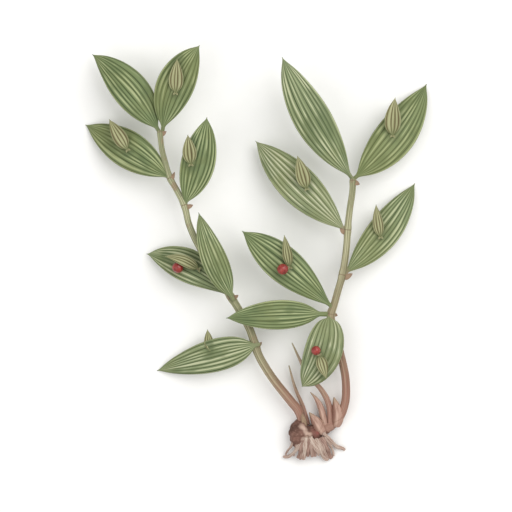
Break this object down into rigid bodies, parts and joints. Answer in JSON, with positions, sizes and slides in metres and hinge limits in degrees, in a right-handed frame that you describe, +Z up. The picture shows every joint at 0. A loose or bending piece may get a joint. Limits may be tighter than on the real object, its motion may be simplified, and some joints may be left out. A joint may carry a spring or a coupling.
{
  "type": "spineless butcher's broom plant",
  "caption": "Butcher's broom plant lifted with its rhizome and laid flat: ribbed leaf-like blades with small tongue leaves and round red berries on leafy stems.",
  "frame": {"origin": "bottom centre of the whole plant's box, on the surface that it lies on", "axes": "+Y from the rhizome towards the tips of the blades, +Z up from the surface, +X to the side of the right-hand stem"},
  "size_m": [0.2928, 0.3536, 0.0465],
  "materials": {
    "blade": "satin, ribbed, leathery living leaf",
    "stem": "smooth green to pinkish-brown living stem",
    "shoot": "smooth pinkish young shoot",
    "berry": "glossy red fruit skin",
    "rhizome": "matt brown rootstock with pale roots"
  },
  "bodies": {
    "root": {"rhizome": "rhizome", "stem_left": "stem", "stem_right": "stem", "shoot_tall": "shoot", "shoot_short": "shoot", "cladode_left_1": "blade", "cladode_left_2": "blade", "cladode_left_3": "blade", "cladode_left_4": "blade", "cladode_left_5": "blade", "cladode_left_6": "blade", "cladode_left_7": "blade", "cladode_right_1": "blade", "cladode_right_2": "blade", "cladode_right_3": "blade", "cladode_right_4": "blade", "cladode_right_5": "blade", "cladode_right_6": "blade", "cladode_right_7": "blade", "berry_left_6": "berry", "berry_right_4": "berry", "berry_right_6": "berry"}
  },
  "joints": []
}
